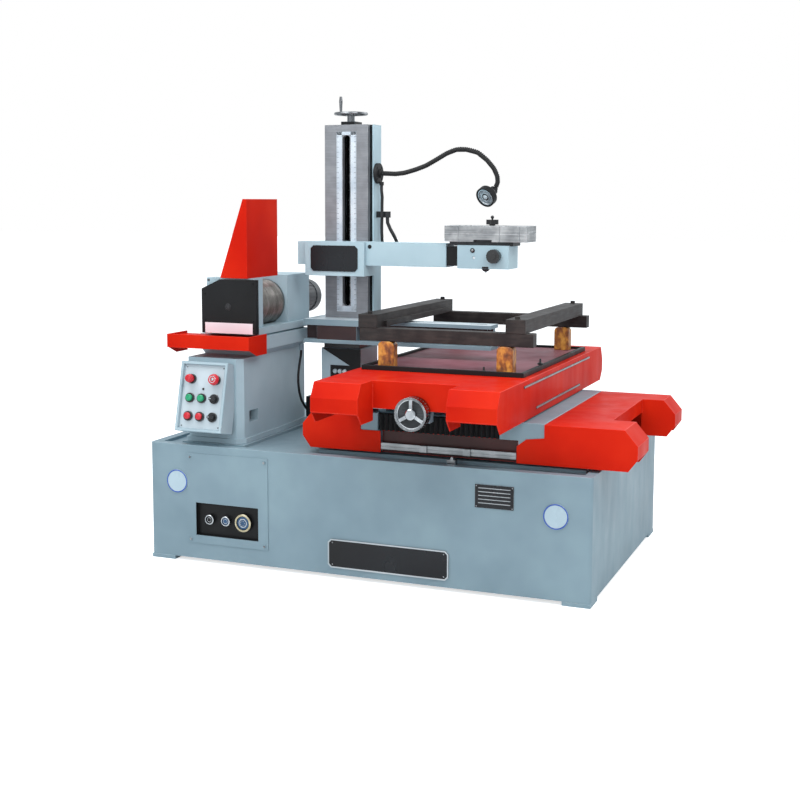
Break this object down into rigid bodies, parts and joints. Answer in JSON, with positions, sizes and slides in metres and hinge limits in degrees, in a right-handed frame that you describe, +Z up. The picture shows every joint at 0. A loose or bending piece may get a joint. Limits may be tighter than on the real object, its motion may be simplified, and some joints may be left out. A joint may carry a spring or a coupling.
{
  "type": "wire edm machine",
  "caption": "Free-standing wire-cut EDM machine: hollow bed, cross-slide table under red covers, column with a lifting arm, wire drum on a tower and a tilted control box.",
  "frame": {"origin": "on the floor, at the middle of the machine's overall length and depth, table centred front to back", "axes": "+X to the right along the bed, +Y to the back, +Z up"},
  "size_m": [1.83, 1.476, 1.7543],
  "materials": {
    "bed_paint": "satin paint, light grey-blue",
    "red_paint": "gloss paint, red",
    "black_paint": "satin paint, black",
    "dark_plate": "gloss plate, black",
    "pad_iron": "grey iron",
    "box_paint": "satin paint, pale grey",
    "ground_steel": "ground steel",
    "scale_metal": "pale anodised strip",
    "chrome": "polished",
    "drum_metal": "turned aluminium",
    "rail_metal": "brushed aluminium",
    "dark_steel": "blackened steel",
    "pillar_board": "phenolic laminate, orange-brown",
    "tray_paint": "faded pink-red paint",
    "black_rubber": "matt",
    "black_plastic": "matt",
    "red_plastic": "gloss",
    "green_plastic": "gloss",
    "cable_rubber": "satin"
  },
  "bodies": {
    "bed": {"base_casting": "bed_paint", "levelling_pads": "pad_iron", "access_panel": "bed_paint", "socket_panel": "dark_plate", "name_plates": "dark_plate", "limit_switch": "black_paint", "drum_tower": "bed_paint", "drip_tray": "red_paint", "control_box": "box_paint", "control_plate": "box_paint", "arm_pedestal": "bed_paint", "arm_insulator": "black_plastic", "lower_arm": "bed_paint", "column_body": "bed_paint", "guide_plate": "ground_steel", "scale_strips": "scale_metal", "gooseneck": "black_rubber", "lamp_cable": "cable_rubber", "tower_cable": "cable_rubber", "x_ways": "ground_steel", "x_motor": "black_paint"},
    "x_screw": {"x_screw": "ground_steel"},
    "lower_pulley": {"lower_pulley": "chrome"},
    "upper_pulley": {"upper_pulley": "chrome"},
    "lamp": {"lamp_head": "black_paint"},
    "column_screw": {"column_screw": "chrome"},
    "crank": {"crank_handle": "black_plastic"},
    "arm": {"upper_arm": "bed_paint", "arm_plate": "dark_plate", "head_box": "bed_paint"},
    "head_knob": {"head_knob": "black_plastic"},
    "v_slide": {"v_slide": "ground_steel"},
    "u_slide": {"u_slide": "ground_steel"},
    "guide_knob": {"guide_knob": "black_plastic"},
    "drum_carriage": {"drum_carriage": "bed_paint", "gear_cover": "black_paint", "drum_motor": "bed_paint", "splash_hood": "red_paint"},
    "drum": {"wire_drum": "drum_metal"},
    "saddle": {"saddle": "bed_paint", "left_cover": "red_paint", "right_cover": "red_paint", "way_bellows": "black_rubber", "dog_rail": "rail_metal"},
    "y_wheel": {"y_wheel": "chrome"},
    "table": {"y_motor": "black_paint", "table": "bed_paint", "upper_cover": "red_paint", "work_tray": "tray_paint", "support_bars": "dark_steel", "work_bars": "dark_steel", "pillars": "pillar_board"},
    "e_stop": {"e_stop": "red_plastic"},
    "pause_button": {"pause_button": "red_plastic"},
    "green_button_1": {"green_button_1": "green_plastic"},
    "green_button_2": {"green_button_2": "green_plastic"},
    "red_button_1": {"red_button_1": "red_plastic"},
    "red_button_2": {"red_button_2": "red_plastic"},
    "selector_1": {"selector_1": "black_plastic"},
    "selector_2": {"selector_2": "black_plastic"}
  },
  "joints": [
    {"name": "x_travel", "type": "slide", "parent": "bed", "child": "saddle", "axis": [1, 0, 0], "range_m": [-0.1, 0.25]},
    {"name": "y_travel", "type": "slide", "parent": "saddle", "child": "table", "axis": [0, 1, 0], "range_m": [-0.18, 0.18]},
    {"name": "arm_lift", "type": "slide", "parent": "bed", "child": "arm", "axis": [0, 0, 1], "range_m": [-0.115, 0.35]},
    {"name": "drum_travel", "type": "slide", "parent": "bed", "child": "drum_carriage", "axis": [0, 1, 0], "range_m": [-0.09, 0.09]},
    {"name": "u_travel", "type": "slide", "parent": "v_slide", "child": "u_slide", "axis": [1, 0, 0], "range_m": [-0.02, 0.02]},
    {"name": "v_travel", "type": "slide", "parent": "arm", "child": "v_slide", "axis": [0, 1, 0], "range_m": [-0.02, 0.02]},
    {"name": "x_screw_turn", "type": "hinge", "parent": "bed", "child": "x_screw", "pos_m": [-0.453, 0.097, 0.52], "axis": [1, 0, 0], "continuous": true},
    {"name": "y_wheel_turn", "type": "hinge", "parent": "table", "child": "y_wheel", "pos_m": [0.195, -0.612, 0.6413], "axis": [0, 1, 0], "continuous": true},
    {"name": "column_screw_turn", "type": "hinge", "parent": "bed", "child": "column_screw", "pos_m": [-0.357, 0.107, 1.66], "axis": [0, 0, 1], "continuous": true},
    {"name": "crank_spin", "type": "hinge", "parent": "column_screw", "child": "crank", "pos_m": [-0.37395, 0.04788, 1.715], "axis": [0, 0, 1], "continuous": true},
    {"name": "drum_spin", "type": "hinge", "parent": "drum_carriage", "child": "drum", "pos_m": [-0.659, -0.168, 0.952], "axis": [0, 1, 0], "continuous": true},
    {"name": "head_knob_turn", "type": "hinge", "parent": "arm", "child": "head_knob", "pos_m": [0.293, -0.053, 1.148], "axis": [0, 1, 0], "continuous": true},
    {"name": "guide_knob_turn", "type": "hinge", "parent": "u_slide", "child": "guide_knob", "pos_m": [0.2651, 0.003, 1.265], "axis": [0, 0, 1], "continuous": true},
    {"name": "lower_pulley_spin", "type": "hinge", "parent": "bed", "child": "lower_pulley", "pos_m": [0.212, 0.012, 0.85], "axis": [0, 1, 0], "continuous": true},
    {"name": "upper_pulley_spin", "type": "hinge", "parent": "arm", "child": "upper_pulley", "pos_m": [0.212, 0.006, 1.141], "axis": [0, 1, 0], "continuous": true},
    {"name": "lamp_tilt", "type": "hinge", "parent": "bed", "child": "lamp", "pos_m": [0.227, 0.152, 1.397], "axis": [-0.9397, 0.342, 0], "range_deg": [-25, 25]},
    {"name": "e_stop_press", "type": "slide", "parent": "bed", "child": "e_stop", "axis": [0, 0.9728, -0.2317], "range_m": [0, 0.005], "stiffness_N_per_m": 400, "springref_m": -0.001},
    {"name": "pause_button_press", "type": "slide", "parent": "bed", "child": "pause_button", "axis": [0, 0.9728, -0.2317], "range_m": [0, 0.005], "stiffness_N_per_m": 400, "springref_m": -0.001},
    {"name": "green_button_1_press", "type": "slide", "parent": "bed", "child": "green_button_1", "axis": [0, 0.9728, -0.2317], "range_m": [0, 0.005], "stiffness_N_per_m": 400, "springref_m": -0.001},
    {"name": "green_button_2_press", "type": "slide", "parent": "bed", "child": "green_button_2", "axis": [0, 0.9728, -0.2317], "range_m": [0, 0.005], "stiffness_N_per_m": 400, "springref_m": -0.001},
    {"name": "red_button_1_press", "type": "slide", "parent": "bed", "child": "red_button_1", "axis": [0, 0.9728, -0.2317], "range_m": [0, 0.005], "stiffness_N_per_m": 400, "springref_m": -0.001},
    {"name": "red_button_2_press", "type": "slide", "parent": "bed", "child": "red_button_2", "axis": [0, 0.9728, -0.2317], "range_m": [0, 0.005], "stiffness_N_per_m": 400, "springref_m": -0.001},
    {"name": "selector_1_turn", "type": "hinge", "parent": "bed", "child": "selector_1", "pos_m": [-0.64728, -0.48718, 0.61955], "axis": [0, 0.9728, -0.2317], "range_deg": [-45, 45]},
    {"name": "selector_2_turn", "type": "hinge", "parent": "bed", "child": "selector_2", "pos_m": [-0.64728, -0.50297, 0.55329], "axis": [0, 0.9728, -0.2317], "range_deg": [-45, 45]}
  ],
  "couplings": [
    {"joint": "x_screw_turn", "follows": "x_travel", "rad_per_m": 1256.6},
    {"joint": "y_wheel_turn", "follows": "y_travel", "rad_per_m": 1256.6},
    {"joint": "column_screw_turn", "follows": "arm_lift", "rad_per_m": 1256.6},
    {"joint": "drum_spin", "follows": "drum_travel", "rad_per_m": 25133},
    {"joint": "head_knob_turn", "follows": "v_travel", "rad_per_m": 6283.2}
  ]
}
